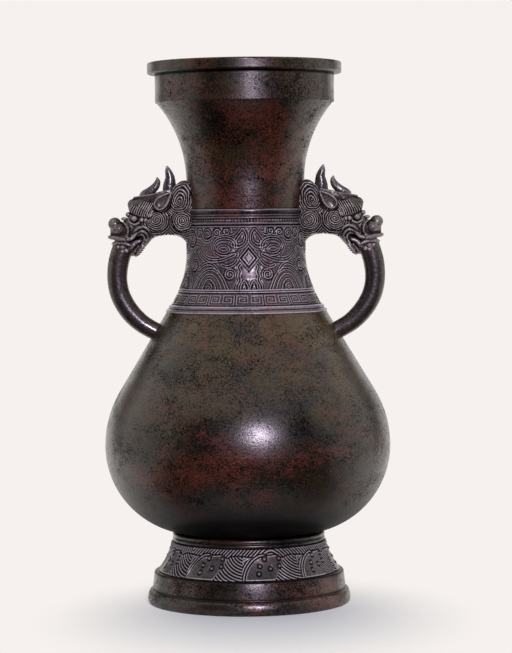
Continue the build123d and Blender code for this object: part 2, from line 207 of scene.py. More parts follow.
loopBronze = patinaMaterial({
    "name": "waxed handle loop bronze", "dark": "#1f1b19", "brown": "#3b342d", "red": "#33241e",
    "ochre": "#5a3c2c", "pitAndPaintedShade": "#030303", "pitMost": 0.7, "mottleSize": 24,
    "blotchSize": 6, "drawnOut": 1.0,
    "speckSize": 1.7, "smoothest": 0.36, "roughest": 0.7, "grainDepth": 0.5,
    "sheen": 0.4, "wax": 1.0, "waxRoughness": 0.2})
innerBronze = patinaMaterial({
    "name": "dull cast bronze inside", "dark": "#130e0c", "brown": "#2c231d", "red": "#33201a",
    "ochre": "#5a3c2c", "pitAndPaintedShade": "#040303", "pitMost": 0.7, "mottleSize": 30, "blotchSize": 7,
    "drawnOut": 1.0, "redness": ((0.0, 0.3), (1.0, 0.3)), "speckSize": 1.7, "smoothest": 0.5,
    "roughest": 0.75, "grainDepth": 0.4, "sheen": 0.4, "wax": 0.0, "waxRoughness": 0.3})
print("materials made")


# Mesh pieces

def ridgeAndHollowShares(vertices, faces, passes, depth):
    # how far each vertex stands out from the smoothed surface: ridges near 1, hollows near -1
    following = np.roll(faces, -1, axis=1)
    start = np.concatenate([faces.ravel(), following.ravel()])
    end = np.concatenate([following.ravel(), faces.ravel()])
    count = np.maximum(np.bincount(start, minlength=len(vertices)), 1)[:, None]
    smooth = vertices
    for _ in range(passes):
        smooth = np.stack([np.bincount(start, smooth[end, i], len(vertices)) for i in range(3)], 1) / count
    corner = [vertices[faces[:, i]] for i in range(4)]
    across = np.cross(corner[2] - corner[0], corner[3] - corner[1])
    normal = np.stack([np.bincount(faces.ravel(), np.repeat(across[:, i], 4), len(vertices))
                       for i in range(3)], 1)
    normal /= np.maximum(np.linalg.norm(normal, axis=1), 1e-9)[:, None]
    return np.clip(((vertices - smooth) * normal).sum(1) / depth, -1, 1)


def largestPart(vertices, faces):
    # crumbs that only touch the rest are left out: faces belong together across an edge that just two
    # of them share, and each takes the least number that it is joined to, over and over
    ends = np.sort(np.stack([faces, np.roll(faces, -1, axis=1)], -1).reshape(-1, 2), axis=1)
    edge = ends[:, 0] * len(vertices) + ends[:, 1]
    order = np.argsort(edge, kind="stable")
    _, first, count = np.unique(edge[order], return_index=True, return_counts=True)
    pairs = order[first[count == 2][:, None] + (0, 1)] // 4
    label = np.arange(len(faces))
    while True:
        least = label.copy()
        np.minimum.at(least, pairs.ravel(), np.repeat(label[pairs].min(1), 2))
        least = least[least]
        if np.array_equal(least, label):
            break
        label = least
    kept = faces[label == np.bincount(label).argmax()]
    used, number = np.unique(kept, return_inverse=True)
    return vertices[used], number.reshape(kept.shape)


def makePiece(name, vertices, faces, material, node, rubbedAndPaintedLight=None):
    mesh = bpy.data.meshes.new(name)
    mesh.vertices.add(len(vertices))
    mesh.vertices.foreach_set("co", (vertices * millimetre).astype(np.float32).ravel())
    mesh.loops.add(faces.size)
    mesh.loops.foreach_set("vertex_index", faces.astype(np.int32).ravel())
    mesh.polygons.add(len(faces))
    mesh.polygons.foreach_set("loop_start", np.arange(0, faces.size, 4, dtype=np.int32))
    mesh.update(calc_edges=True)
    mesh.validate()
    mesh.polygons.foreach_set("use_smooth", np.ones(len(mesh.polygons), bool))
    if rubbedAndPaintedLight is not None:
        attribute = mesh.attributes.new("rubbedAndPaintedLight", "FLOAT", "POINT")
        attribute.data.foreach_set("value", rubbedAndPaintedLight.astype(np.float32))
    mesh.materials.append(material)
    piece = bpy.data.objects.new(name, mesh)
    scene.collection.objects.link(piece)
    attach(piece, "root")
    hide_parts(node)
    print("made", name, len(faces), "faces")


def ringFaces(rows, columns):
    # quads of a closed outline turned all the way round: vertex = row * columns + column
    row = np.arange(rows)[:, None]
    column = np.arange(columns)[None, :]
    nextRow = (row + 1) % rows
    nextColumn = (column + 1) % columns
    corners = [row * columns + column, row * columns + nextColumn,
               nextRow * columns + nextColumn, nextRow * columns + column]
    return np.stack([np.broadcast_to(c, (rows, columns)).ravel() for c in corners], 1)


def turnedRing(radii, heights):
    # radii and heights: (rows, columns) arrays; column 0 faces the front
    angles = np.arange(radii.shape[1]) * 2 * np.pi / radii.shape[1]
    points = np.stack([radii * np.sin(angles), -radii * np.cos(angles), heights], -1)
    return points.reshape(-1, 3), ringFaces(*radii.shape)


def reliefRing(name, z, radius, relief, piece, rubbedAndPaintedLight, material, node):
    # a relief turned all the way round, with a plain back of fewer rows
    outer = radius(z) + relief
    back = z[::-piece["backStep"]]
    inner = np.broadcast_to(radius(back) - piece["wall"], (len(back), outer.shape[1]))
    heights = np.vstack([np.broadcast_to(z, outer.shape), np.broadcast_to(back, inner.shape)])
    vertices, faces = turnedRing(np.vstack([outer, inner]), heights)
    shares = np.zeros(len(vertices))
    shares[:outer.size] = rubbedAndPaintedLight.ravel()
    makePiece(name, vertices, faces, material, node, shares)


# Lines and ridges

def smoothLine(points, perSpan=8):
    # a Catmull-Rom curve through the points
    p = np.array(points, float)
    p = np.vstack([2 * p[0] - p[1], p, 2 * p[-1] - p[-2]])
    t = np.linspace(0, 1, perSpan, endpoint=False)[:, None]
    spans = []
    for a, b, c, d in zip(p, p[1:], p[2:], p[3:]):
        spans.append(0.5 * (2 * b + (c - a) * t + (2 * a - 5 * b + 4 * c - d) * t ** 2
                            + (3 * b - a - 3 * c + d) * t ** 3))
    return np.vstack([*spans, p[-2:-1]])


def distanceToLine(x, y, line):
    # least distance from each point to a polyline
    least = np.full(x.shape, 1e9)
    for (ax, ay), (bx, by) in zip(line, line[1:]):
        dx, dy = bx - ax, by - ay
        t = np.clip(((x - ax) * dx + (y - ay) * dy) / (dx * dx + dy * dy + 1e-12), 0, 1)
        least = np.minimum(least, (x - ax - t * dx) ** 2 + (y - ay - t * dy) ** 2)
    return np.sqrt(least)


def ridge(distance, halfWidth):
    return np.where(np.abs(distance) < halfWidth, 0.5 + 0.5 * np.cos(np.pi * distance / halfWidth), 0.0)


def combed(distance, pitch, power):
    # rounded ridges side by side, with sharp grooves between them; a lower power flattens the ridges
    return np.abs(np.cos(np.pi * distance / pitch)) ** power


def standingOut(height, reach, depth):
    # how far each point of a relief stands above its surroundings: ridges near 1, hollows near -1
    mean = height
    for axis in (0, 1):
        mean = sum(np.roll(mean, shift, axis) for shift in range(-reach, reach + 1)) / (2 * reach + 1)
    return np.clip((height - mean) / depth, -1, 1)


def smoothStep(low, high, value):
    t = np.clip((value - low) / (high - low), 0, 1)
    return t * t * (3 - 2 * t)


# Neck band: ribs and a beaded row, the scroll relief, the key fret, and two ribs below

neckBand = {
    "bottom": 216.0, "fretBottom": 222.0, "scrollBottom": 231.0, "scrollTop": 278.5, "top": 292.5,
    "neckRadius": 43.7, "shoulderRadius": 59.4, "flareTop": 262.0, "wall": 4.0,
    "columns": 728, "turnedColumns": 5, "step": 0.42, "unit": 46.0, "designRise": 2.3,
    "lineHeight": 0.6, "lineHalfWidth": 0.55, "doublePitch": 1.7, "echoPitch": 1.8, "echoHeight": 0.38,
    "echoLeast": 0.6, "echoFade": (244, 254), "echoPower": 0.4, "edgeTop": 233.8,
    "beads": 120, "beadLeast": 0.35, "fretUnits": 32, "fretShare": 0.45, "backStep": 8,
    "standingCap": 0.65, "standingReach": 3, "standingDepth": 0.2,
}
# Strokes of the scroll relief, right of the middle: millimetres round the band at a radius of 46,
# and height, before the whole design is raised. The left half and the back repeat them.
scrollStrokes = {
    "leaf edge": (1, ((11.2, 267.6), (9.4, 269.8), (7, 272.7), (4.5, 275.4), (2.2, 272.6), (1.3, 269),
                      (2.1, 265.6), (4.6, 263), (8, 261.7), (11.5, 261.9), (13.6, 263.6), (12.4, 265.4))),
    "leaf heart": (1, ((4.7, 273), (3.1, 269.6), (3.6, 266.6), (5.6, 264.6), (8.4, 264.2), (9.4, 266),
                       (8.2, 268.4), (6.3, 270.8), (4.7, 273))),
    "brow": (2, ((9.6, 260.5), (10.6, 265.4), (14, 268.1), (20, 268.7), (25, 267.3), (27.6, 264.2),
                 (27, 261))),
    "eye": (1, ((14, 260.2), (17, 263.2), (21.5, 263.4), (25, 260.7), (22, 258), (17, 257.8), (14, 260.2))),
    "eye fold": (1, ((12.6, 257.2), (17, 255.9), (22, 256), (26, 258))),
    "cheek": (2, ((10.6, 256.6), (15, 254.6), (20, 252.9), (26, 252), (33, 252.8), (39, 256.2),
                  (44, 261.8))),
    "vine": (1, ((11, 271.4), (14, 270.6), (18, 271), (22, 270.6), (28, 269.4), (32, 267.2), (36, 267),
                 (40, 269))),
    "diagonal": (2, ((8.9, 252.6), (11, 249.9), (14, 248.3), (17.2, 247.8), (20.5, 249))),
    "ripple": (2, ((6.2, 249.8), (7.7, 247.4), (6.5, 244.4), (7.3, 241), (6.5, 237.8), (8.2, 234.4),
                   (8.2, 230.4))),
    "arch": (2, ((14.5, 230.2), (17, 235), (20, 240), (24, 244), (29, 246), (34, 245.2), (38.5, 242.1),
                 (41.5, 237.4), (43, 230.6))),
    "inner arch": (1, ((18.8, 230.4), (21.6, 236.4), (25, 240.5), (29.5, 242.5), (34, 241.3), (37.3, 237.3),
                       (38.8, 230.6))),
    "least arch": (1, ((23, 230.4), (25.5, 235.6), (29.5, 238.7), (33, 237.3), (34.8, 230.6))),
    "flank": (2, ((23, 243.8), (25.4, 247), (28.8, 249.4), (33, 250), (38, 248.4), (41.6, 245.8))),
    "door arch": (1, ((0.4, 230), (0.9, 234), (3.4, 237.8), (5.6, 234.4), (6, 230))),
    "door heart": (1, ((2.2, 230), (3.4, 234.4), (4.4, 230))),
    "far arch": (2, ((46.5, 230.4), (48.5, 238), (53, 243.2), (58, 244.6), (63, 242), (66.5, 236),
                     (67.5, 230.4))),
    "far cheek": (2, ((46, 262), (51, 255.4), (58, 251.4), (65, 250.4), (72.3, 250.4))),
}
# Spirals: middle, outer radius, and the way they turn
scrollSpirals = {
    "jaw curl": (14.0, 242.2, 4.2, 1), "first top curl": (17.2, 273.6, 2.6, -1),
    "second top curl": (25.0, 272.6, 3.2, 1), "third top curl": (33.6, 271.6, 3.4, -1),
    "outer top curl": (42.2, 273.0, 3.0, 1), "arch curl": (29.6, 232.6, 3.2, -1),
    "far upper curl": (52.5, 268.0, 5.6, 1), "far low curl": (57.5, 235.6, 4.6, -1),
    "side curl": (64.5, 264.0, 6.4, -1), "mid curl": (47.4, 248.4, 4.0, 1),
}
spiralPitch = 1.75
# Shares of the lozenge's size: the rim and the line round the heart, each with its half width, and
# where the heart ends. The bare ground below it fades out at its side, foot and top.
lozenge = {
    "middle": 254.0, "halfWidth": 7.2, "halfHeight": 8.4, "clear": 1.22, "rim": (1.02, 0.11),
    "heart": (0.72, 0.66), "heartLine": (0.48, 0.07), "lineDepth": 0.8,
    "bareSide": (6.2, 4.8), "bareFoot": (237.5, 239.5), "bareTop": (250.5, 248.5),
}


def bandRadius(height):
    rise = neckBand["flareTop"] - neckBand["bottom"]
    run = neckBand["shoulderRadius"] - neckBand["neckRadius"]
    arc = (run ** 2 + rise ** 2) / (2 * run)
    drop = np.clip(neckBand["flareTop"] - height, 0, None)
    return neckBand["neckRadius"] + arc - np.sqrt(arc ** 2 - drop ** 2)


def scrollRelief(s, z):
    high, half = neckBand["lineHeight"], neckBand["lineHalfWidth"]
    relief = np.zeros(s.shape)
    nearest = np.full(s.shape, 1e9)
    for lines, points in scrollStrokes.values():
        away = distanceToLine(s, z, smoothLine(points))
        offset = away - neckBand["doublePitch"] / 2 if lines == 2 else away
        relief = np.maximum(relief, high * ridge(offset, half))
        nearest = np.minimum(nearest, np.maximum(offset, 0))
    for middle, level, radius, way in scrollSpirals.values():
        out = np.hypot(s - middle, z - level)
        turn = np.arctan2(z - level, s - middle) / (2 * np.pi) * way
        phase = (out / spiralPitch - turn + 0.5) % 1 - 0.5
        inside = out < radius + 0.1
        relief = np.where(inside, high * ridge(phase * spiralPitch, half), relief)
        nearest = np.where(inside, 0, np.minimum(nearest, np.maximum(out - radius, 0)))
    # flat lines of lower relief echo the nearest stroke and fill the ground
    least = neckBand["echoLeast"]
    faint = least + (1 - least) * smoothStep(*neckBand["echoFade"], z)
    filled = neckBand["echoHeight"] * faint * combed(nearest, neckBand["echoPitch"], neckBand["echoPower"])
    relief = np.maximum(relief, np.where(nearest > neckBand["echoPitch"] / 2, filled, 0))
    # the nested lozenge in the middle: thin ridge, wide groove, and a broad flat heart with a line round it
    ring = np.abs(s) / lozenge["halfWidth"] + np.abs(z - lozenge["middle"]) / lozenge["halfHeight"]
    rim, rimHalf = lozenge["rim"]
    line, lineHalf = lozenge["heartLine"]
    heart = smoothStep(*lozenge["heart"], ring) - lozenge["lineDepth"] * ridge(ring - line, lineHalf)
    outline = np.maximum(ridge(ring - rim, rimHalf), heart)
    relief = np.where(ring < lozenge["clear"], high * outline, relief)
    # the bare ground under it, between the ripples
    bare = smoothStep(*lozenge["bareSide"], s) * smoothStep(*lozenge["bareFoot"], z)
    bare = bare * smoothStep(*lozenge["bareTop"], z)
    bare = np.where(ring < lozenge["clear"], 0, bare)
    return relief * (1 - bare) + neckBand["echoHeight"] * bare


def fretRelief(s, z):
    # a squared spiral in each unit, every other one mirrored
    pitch = 2 * np.pi * neckBand["unit"] / neckBand["fretUnits"]
    cell = np.floor(s / pitch)
    a = s - cell * pitch
    a = np.where(cell % 2 == 0, a, pitch - a)
    b = z - neckBand["fretBottom"]
    spiral = ((0, 0.7), (8.2, 0.7), (8.2, 7.3), (1.2, 7.3), (1.2, 2.4), (6.5, 2.4), (6.5, 5.6), (3.0, 5.6),
              (3.0, 4.1), (4.8, 4.1))
    line = ridge(distanceToLine(a, b, spiral), neckBand["lineHalfWidth"])
    return neckBand["lineHeight"] * neckBand["fretShare"] * line


# Profiles of the plain mouldings: middle height, rise and half width
upperRibs = ((279.2, 0.5, 0.6), (281.6, 1.0, 0.9), (285.6, 1.0, 0.8), (287.4, 1.1, 0.9), (290.3, 1.25, 1.8))
beadedRow = (283.5, 1.0, 1.1)
lowerRibs = ((217.4, 1.25, 1.3), (220.4, 1.25, 1.3))
edgeLines = ((231.6, 0.55, 0.6), (233.1, 0.55, 0.6))


def ribRelief(z, ribs):
    return sum(rise * np.sqrt(np.clip(1 - ((z - level) / half) ** 2, 0, 1)) for level, rise, half in ribs)


def ribsAndBeads(s, z):
    least = neckBand["beadLeast"]
    bead = least + (1 - least) * np.abs(np.cos(s / neckBand["unit"] * neckBand["beads"] / 2))
    return ribRelief(z, upperRibs) + ribRelief(z, (beadedRow,)) * bead


def scrollAndEdge(s, z):
    scroll = scrollRelief(s, z - neckBand["designRise"])
    return np.maximum(np.where(z > neckBand["edgeTop"], scroll, 0), ribRelief(z, edgeLines))


def fretAndRibs(s, z):
    return np.where(z > neckBand["fretBottom"], fretRelief(s, z), ribRelief(z, lowerRibs))


def bandPiece(name, low, high, relief, material):
    rows = int(round((high - low) / neckBand["step"])) + 1
    z = np.linspace(low, high, rows)[:, None]
    columns = neckBand["columns"]
    angle = np.arange(columns) * 2 * np.pi / columns
    folded = np.abs((angle + np.pi / 2) % np.pi - np.pi / 2)
    quarter = np.unique(np.round(folded, 9))
    s, level = np.broadcast_arrays(quarter[None, :] * neckBand["unit"], z)
    height = relief(s, level)[:, np.searchsorted(quarter, np.round(folded, 9) - 1e-7)]
    height = np.roll(height, neckBand["turnedColumns"], axis=1)
    # ridges lightened as rubbed wear and painted highlight, grooves darkened as painted shade; wide ribs are
    # capped so they stay plain
    most = np.minimum(height, neckBand["standingCap"])
    rubbedAndPaintedLight = standingOut(most, neckBand["standingReach"], neckBand["standingDepth"])
    reliefRing(name, z, bandRadius, height, neckBand, rubbedAndPaintedLight, material, "neck_band")


bandPiece("neckBandRibs", neckBand["scrollTop"], neckBand["top"], ribsAndBeads, ribBronze)
bandPiece("neckBandScroll", neckBand["scrollBottom"], neckBand["scrollTop"], scrollAndEdge, reliefBronze)
bandPiece("neckBandFret", neckBand["bottom"], neckBand["scrollBottom"], fretAndRibs, reliefBronze)


# Foot: ribs, the sea-wave relief, the step and the bottom band

foot = {
    "top": 52.5, "waveTop": 46.0, "waveBottom": 24.0, "ribRadius": 56.6, "waveFootRadius": 67.0,
    "hollow": 1.9, "columns": 1080, "step": 0.36, "unit": 62.0, "waves": 9, "swells": 3,
    "combPitch": 1.95, "relief": 1.3, "wall": 2.5, "sunk": 0.2, "backStep": 10, "bodyColumns": 192,
    "standingReach": 3, "standingDepth": 0.3,
    "crestPlace": 10.5, "swellMiddle": 17.0, "crestFoot": 15.5, "combPower": 1.5, "seaLean": (0.72, 0.70),
    "seaRound": 5.0, "smoothWater": 0.9, "troughSqueeze": 0.92, "troughEdge": (16.3, 39.0, 0.63),
    "backGroove": 0.8, "crestHeight": 1.15, "dropHeight": 1.7,
}
# One wave, with the tip of its crest near 0: millimetres along the band and height
waveCrest = ((-14.4, 23), (-13.9, 28), (-12.0, 33.2), (-8.2, 38.0), (-3.6, 41.0), (0.2, 41.6), (2.4, 40.6))
crestSide = ((24, -14.2), (30, -13.5), (36, -10.2), (41, -3.6), (46, 4.0))
waveBack = ((0, 42.4), (4, 41.6), (9, 42), (12.6, 41.6), (15.7, 39.4), (18.8, 40.8), (23, 41.3), (27.7, 41),
            (33, 40.5), (38, 40), (43.4, 42.4))
hookTip = (1.2, 39.2, 1.5)
sprayDrops = ((-2.6, 34.2, 1.35), (-3.6, 29.2, 1.4), (5.0, 32.4, 1.35), (12.1, 34.0, 1.3), (12.4, 39.2, 1.3))
troughMiddle = (31.5, 46.0)


def waveRelief(s, z):
    # the relief, the same without drops, and painted light on the drops: a painted highlight on each dome
    # and painted shade in the groove round it
    width = 2 * np.pi * foot["unit"] / foot["waves"]
    q = (s - foot["crestPlace"] + foot["crestFoot"]) % width - foot["crestFoot"]
    pitch, power = foot["combPitch"], foot["combPower"]
    # the far sea: combed lines that lean away from the middle of each swell
    swellWidth = 2 * np.pi * foot["unit"] / foot["swells"]
    side = (s - foot["swellMiddle"] + swellWidth / 2) % swellWidth - swellWidth / 2
    sideLean, upLean = foot["seaLean"]
    sea = np.sqrt(side ** 2 + foot["seaRound"] ** 2) * sideLean + z * upLean
    relief = combed(sea, pitch, power)
    # under the back of the wave: smooth water behind the crest, then a trough of nested arcs
    back = np.interp(q % width, *zip(*waveBack))
    out = np.hypot((q - troughMiddle[0]) * foot["troughSqueeze"], z - troughMiddle[1])
    edgePlace, edgeLevel, edgeLean = foot["troughEdge"]
    troughEdge = edgePlace - (edgeLevel - z) * edgeLean
    near = np.where(q > troughEdge, combed(out, pitch, power), foot["smoothWater"])
    relief = np.where(z < back, near, relief) * (1 - ridge(z - back, foot["backGroove"]))
    # the crest: ridges side by side on its outer face, one where it hooks over
    crest = distanceToLine(q, z, smoothLine(waveCrest))
    outer = q < np.interp(z, *zip(*crestSide))
    reach = np.where(outer, pitch * (0.5 + 2 * smoothStep(41, 35, z)), pitch * 0.5)
    lines = foot["crestHeight"] * combed(crest, pitch, power)
    relief = np.where(crest < reach, lines, relief * smoothStep(0, 0.7, crest - reach))
    # the hooked tip and the drops of spray: domes, each in a groove
    flat = relief
    beads = np.zeros(s.shape)
    for place, level, radius in (hookTip, *sprayDrops):
        gap = np.hypot(q - place, z - level)
        dome = np.sqrt(np.clip(1 - (gap / radius) ** 2, 0, 1))
        around = relief * smoothStep(radius + 0.1, radius + 0.8, gap)
        relief = np.where(gap < radius, foot["dropHeight"] * dome, around)
        # painted highlight on the dome, painted shade in the groove round it
        beads = np.where(gap < radius + 0.9, 0.65 * dome - ridge(gap - radius - 0.25, 0.65), beads)
    fade = smoothStep(foot["waveBottom"], foot["waveBottom"] + 0.9, z)
    fade = foot["relief"] * fade * smoothStep(foot["waveTop"], foot["waveTop"] - 0.7, z)
    return relief * fade, flat * fade, beads


def waveRadius(z):
    share = (z - foot["waveBottom"]) / (foot["waveTop"] - foot["waveBottom"])
    run = foot["ribRadius"] - foot["waveFootRadius"]
    return foot["waveFootRadius"] + run * share - 4 * foot["hollow"] * share * (1 - share)


def footWaves():
    rows = int(round((foot["waveTop"] - foot["waveBottom"]) / foot["step"])) + 1
    z = np.linspace(foot["waveBottom"], foot["waveTop"], rows)[:, None]
    columns = foot["columns"]
    angle = np.arange(columns) * 2 * np.pi / columns
    s = (angle + np.pi) % (2 * np.pi) - np.pi
    s, level = np.broadcast_arrays(s[None, :] * foot["unit"], z)
    relief, flat, beads = waveRelief(s, level)
    # ridges lightened as rubbed wear and painted highlight, grooves darkened as painted shade; the drops
    # keep their own painted light
    rubbedAndPaintedLight = standingOut(flat, foot["standingReach"], foot["standingDepth"])
    rubbedAndPaintedLight = np.where(beads == 0, rubbedAndPaintedLight, beads)
    reliefRing("footWaves", z, waveRadius, relief - foot["sunk"], foot, rubbedAndPaintedLight, waveBronze, "foot")


def arcPoints(middle, radius, start, end, count):
    angles = np.radians(np.linspace(start, end, count))
    return [(middle[0] + radius * math.cos(a), middle[1] + radius * math.sin(a)) for a in angles]


def footBody():
    depth = foot["wall"]
    low, high = foot["waveBottom"], foot["waveTop"]
    middle = (high + low) / 2
    outline = [(69.8, 0), (74.5, 0), (75.1, 0.6), (75.5, 2.5), (75.5, 4.5), (74.9, 7.4), (74.1, 9.3),
               (73.4, 9.9), (71.95, 10.05), (71.9, 10.6), (71.3, 16),
               *arcPoints((68.6, 22.0), 2.0, 8, 90, 7), (67.1, low), (foot["waveFootRadius"] - depth, low),
               (float(waveRadius(middle)) - depth, middle), (foot["ribRadius"] - depth, high), (55.6, high),
               *arcPoints((55.2, 47.6), 1.55, -75, 75, 9), *arcPoints((55.0, 50.9), 1.6, -75, 90, 10),
               (46.1, foot["top"]), (46.1, 48.5), (42, 48.5), (42, 43.5), (51.6, 43.5), (62.0, 19)]
    points = np.array(outline)
    columns = foot["bodyColumns"]
    radii, heights = (np.repeat(points[:, i:i + 1], columns, 1) for i in (0, 1))
    vertices, faces = turnedRing(radii, heights)
    makePiece("footBody", vertices, faces, vesselBronze, "foot")


footWaves()
footBody()


# Beast heads, modelled as clay: rounded forms melt into each other, and lines are pressed in.
# u is out from the neck, v sideways from the middle plane, w up from the head's middle.

class Clay:
    def __init__(self, low, high, step):
        self.axes = [np.arange(a, b + step / 2, step) for a, b in zip(low, high)]
        self.step = step
        self.field = np.full([len(axis) for axis in self.axes], 30.0)

    def window(self, low, high):
        cuts = []
        for axis, a, b in zip(self.axes, low, high):
            first, last = np.searchsorted(axis, [a, b])
            cuts.append(slice(max(first - 1, 0), min(last + 1, len(axis))))
        u, v, w = (axis[cut] for axis, cut in zip(self.axes, cuts))
        return tuple(cuts), u[:, None, None], v[None, :, None], w[None, None, :]

    def merge(self, cuts, distance, softness, carve):
        old = self.field[cuts]
        sign = -1 if carve else 1
        a = sign * old
        share = np.clip(0.5 + 0.5 * (distance - a) / softness, 0, 1)
        self.field[cuts] = sign * (distance * (1 - share) + a * share - softness * share * (1 - share))

    def ball(self, middle, radii, lean=0.0, splay=0.0, softness=1.0, carve=False):
        reach = max(radii) + 3 * softness + 1
        cuts, u, v, w = self.window(np.subtract(middle, reach), np.add(middle, reach))
        c, s = math.cos(math.radians(lean)), math.sin(math.radians(lean))
        along = (u - middle[0]) * c + (w - middle[2]) * s
        up = (w - middle[2]) * c - (u - middle[0]) * s
        side = (v - middle[1]) + math.tan(math.radians(splay)) * along
        near, slope = (np.sqrt((along / radii[0] ** power) ** 2 + (side / radii[1] ** power) ** 2
                               + (up / radii[2] ** power) ** 2) for power in (1, 2))
        self.merge(cuts, near * (near - 1) / (slope + 1e-6), softness, carve)

    def tube(self, points, softness, carve=False, flat=1.0):
        # points: (u, v, w, radius); flat above 1 thins the tube sideways
        line = smoothLine(points, 5)
        reach = line[:, 3].max() + 3 * softness + 1
        cuts, u, v, w = self.window(line[:, :3].min(0) - reach, line[:, :3].max(0) + reach)
        least = np.full(self.field[cuts].shape, 1e9)
        for a, b in zip(line, line[1:]):
            d = b[:3] - a[:3]
            t = ((u - a[0]) * d[0] + (v - a[1]) * d[1] + (w - a[2]) * d[2]) / (d @ d + 1e-9)
            t = np.clip(t, 0, 1)
            gap = np.sqrt((u - a[0] - t * d[0]) ** 2 + ((v - a[1] - t * d[1]) * flat) ** 2
                          + (w - a[2] - t * d[2]) ** 2)
            least = np.minimum(least, gap - a[3] - t * (b[3] - a[3]))
        self.merge(cuts, least, softness, carve)

    def sideOf(self, u, w):
        # how far out sideways the clay reaches at a place on the head's side
        i, k = (int(np.clip(round((value - axis[0]) / self.step), 0, len(axis) - 1))
                for value, axis in ((u, self.axes[0]), (w, self.axes[2])))
        column = self.field[i, :, k]
        inside = np.nonzero(column[:-1] < 0)[0]
        if len(inside) == 0:
            return 0.0
        last = inside[-1]
        return self.axes[1][last] + self.step * column[last] / (column[last] - column[last + 1])

    def strand(self, points, lift=0.0, softness=0.3, carve=False):
        # a ridge or groove laid along the clay's side; points: (u, w, radius)
        self.tube([(u, self.sideOf(u, w) + lift, w, radius) for u, w, radius in points], softness, carve)

    def lump(self, u, w, radius, lift=0.0):
        self.ball((u, self.sideOf(u, w) + lift, w), (radius, radius, radius), softness=0.3)

    def skin(self):
        # one vertex in each cell that the surface passes through, one face across each grid edge
        field = np.concatenate([self.field[:, :0:-1], self.field], axis=1)
        start = np.array([self.axes[0][0], -self.axes[1][-1], self.axes[2][0]])
        inside = field < 0
        shape = tuple(n - 1 for n in field.shape)
        corners = [(i, j, k) for i in (0, 1) for j in (0, 1) for k in (0, 1)]
        view = [tuple(slice(c, c + n) for c, n in zip(corner, shape)) for corner in corners]
        count = sum(inside[cut].astype(np.int8) for cut in view)
        active = (count > 0) & (count < 8)
        values = np.stack([field[cut][active] for cut in view], 1)
        offsets = np.array(corners, float)
        total = np.zeros((len(values), 3))
        hits = np.zeros(len(values))
        for a in range(8):
            for b in range(a + 1, 8):
                if np.abs(offsets[a] - offsets[b]).sum() != 1:
                    continue
                crossed = (values[:, a] < 0) != (values[:, b] < 0)
                gap = np.where(crossed, values[:, a] - values[:, b], 1.0)
                share = np.where(crossed, values[:, a] / gap, 0.0)[:, None]
                place = offsets[a] + share * (offsets[b] - offsets[a])
                total += np.where(crossed[:, None], place, 0)
                hits += crossed
        vertices = start + (np.argwhere(active) + total / hits[:, None]) * self.step
        number = np.full(shape, -1)
        number[active] = np.arange(len(values))
        faces = []
        for axis in range(3):
            before = [slice(None)] * 3
            after = [slice(None)] * 3
            before[axis], after[axis] = slice(None, -1), slice(1, None)
            changed = inside[tuple(before)] != inside[tuple(after)]
            places = np.argwhere(changed)
            outward = inside[tuple(before)][changed]
            b, c = (axis + 1) % 3, (axis + 2) % 3
            ring = []
            for db, dc in ((0, 0), (-1, 0), (-1, -1), (0, -1)):
                cell = places.copy()
                cell[:, b] += db
                cell[:, c] += dc
                ring.append(number[tuple(np.clip(cell, 0, np.array(shape) - 1).T)])
            quad = np.stack(ring, 1)
            quad = np.where(outward[:, None], quad, quad[:, ::-1])
            faces.append(quad[(quad >= 0).all(1)])
        return vertices, np.vstack(faces)


head = {
    "neckRadius": 43.7, "middle": 286.6, "sunk": 0.9, "step": 0.37,
    "low": (-6.5, 0.0, -34.0), "high": (60.5, 23.0, 40.5),
    "linePitch": 1.55, "lineDepth": 0.6, "unevenness": 0.07, "standingPasses": 12, "standingDepth": 0.32,
    "browStrands": 11, "shortStrands": 3, "browFront": 41.6, "browPitch": 1.55, "browGroove": 0.78,
    "shortRise": 4.6, "longRise": 9.6, "squareness": 2.3, "noseEnd": 56.5,
}
# Skull: distance out, top, bottom and half width
skull = ((-6, 27, -26, 19.0), (0, 24, -19.4, 17.6), (3.6, 22.5, -15.6, 16.8), (8.6, 21, -13.8, 16.0),
         (14.1, 20.2, -13.4, 15.4), (21, 18.4, -14.4, 14.6), (26.5, 16.8, -15.8, 14.0),
         (31, 15.2, -18.6, 13.2), (36, 13.0, -19.0, 12.2), (40, 7.4, -17.2, 11.0), (43, 0.4, -16.3, 9.9),
         (46, -3.6, -16.0, 8.8), (52, -4.4, -15.8, 7.2), (57, -6, -15.6, 4.0))
# Curled lines on the head's side: middle, weight against its neighbours, the way they turn, and
# how far and at what angle the rings are drawn out
headCurls = {
    "upper mane": (5.2, 11.2, 1.15, 1, 1.75, 107), "lower mane": (2.8, -3.0, 1.0, -1, 1.0, 0),
    "cheek": (21.9, -2.0, 1.0, 1, 1.0, 0), "behind the mouth": (33.6, -14.2, 0.75, 0, 1.0, 0),
    "behind the nostril": (49.5, -8.0, 0.70, 0, 1.0, 0),
}


def skullField(clay):
    u, v, w = np.meshgrid(*clay.axes, indexing="ij", sparse=True)
    stations = np.array(skull)
    top, bottom, half = (np.interp(u, stations[:, 0], stations[:, i]) for i in (1, 2, 3))
    level, rise = (top + bottom) / 2, (top - bottom) / 2
    power = head["squareness"]
    near = (np.abs(v / half) ** power + np.abs((w - level) / rise) ** power) ** (1 / power)
    distance = (near - 1) * np.minimum(half, rise)
    clay.field = np.minimum(clay.field, np.maximum(distance, u - head["noseEnd"]))


